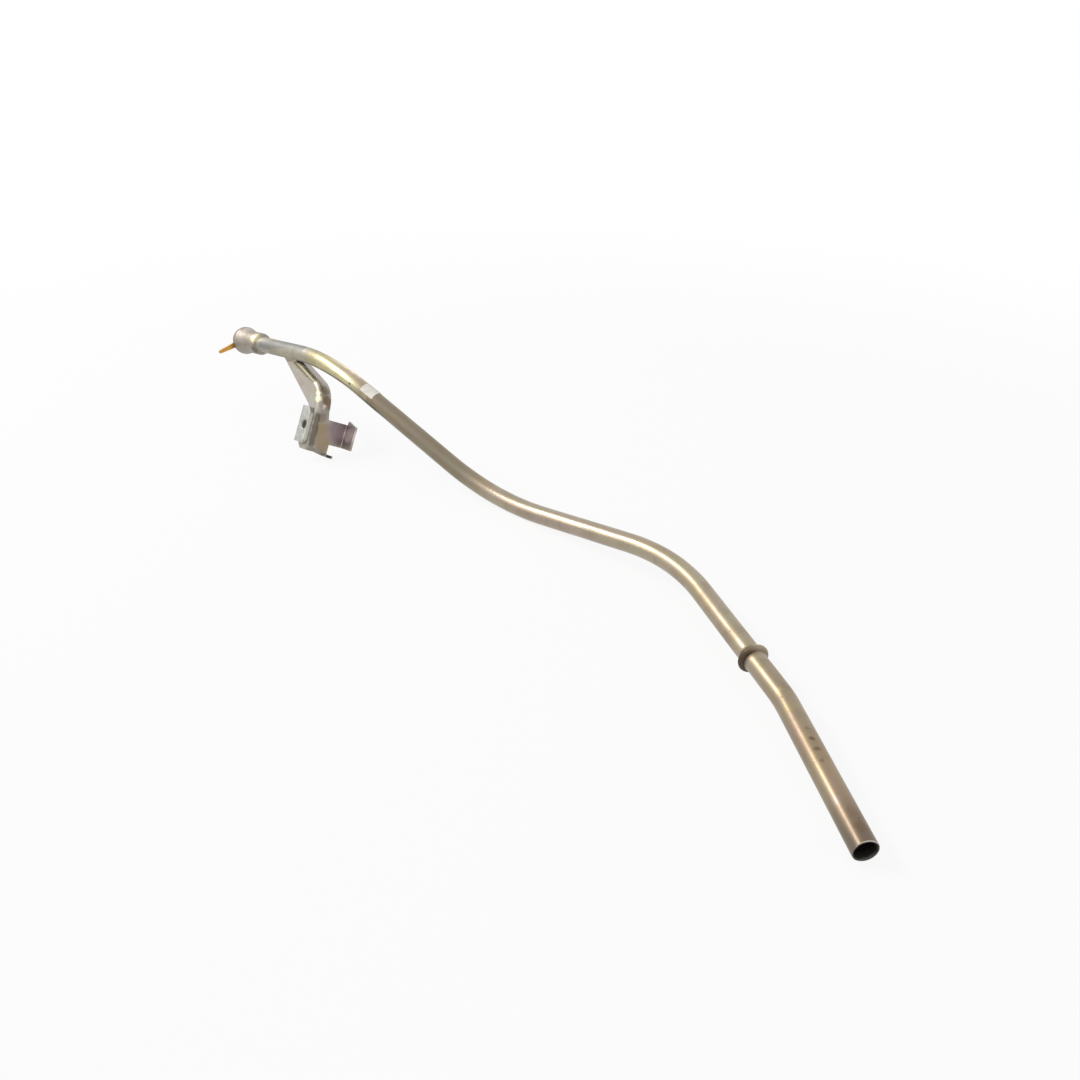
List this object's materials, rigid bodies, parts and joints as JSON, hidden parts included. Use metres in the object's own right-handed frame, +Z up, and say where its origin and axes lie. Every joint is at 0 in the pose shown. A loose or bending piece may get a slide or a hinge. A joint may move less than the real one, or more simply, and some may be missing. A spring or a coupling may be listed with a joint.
{
  "type": "dipstick tube",
  "caption": "Bent steel dipstick tube with a rolled bead, a flared filler socket closed by a plastic plug with a pull tab, and a welded bracket with a nut plate.",
  "frame": {"origin": "centre of the tube's lower mouth", "axes": "+Z up as the part lies on a level surface, +X level, from the lower mouth towards the end of the tube in the filler socket"},
  "size_m": [0.5214, 0.093, 0.0594],
  "materials": {
    "plated_tube": "yellow passivated zinc plate, satin, stained in use",
    "plated_socket": "zinc plate gone dull and mauve-grey, brown at the rim",
    "braze": "dull braze",
    "plated_bracket": "yellow passivated zinc plate with green, mauve and brown tints",
    "weld": "dark weld bead",
    "nut_steel": "dull grey zinc, mottled",
    "orange_plastic": "satin moulded plastic",
    "label_paper": "matt off-white paper, blank and lightly smudged"
  },
  "bodies": {
    "root": {"tube": "plated_tube", "head_socket": "plated_socket", "braze_fillet": "braze", "bracket": "plated_bracket", "bracket_weld": "weld", "nut_plate": "nut_steel", "plug": "orange_plastic", "label": "label_paper"}
  },
  "joints": []
}
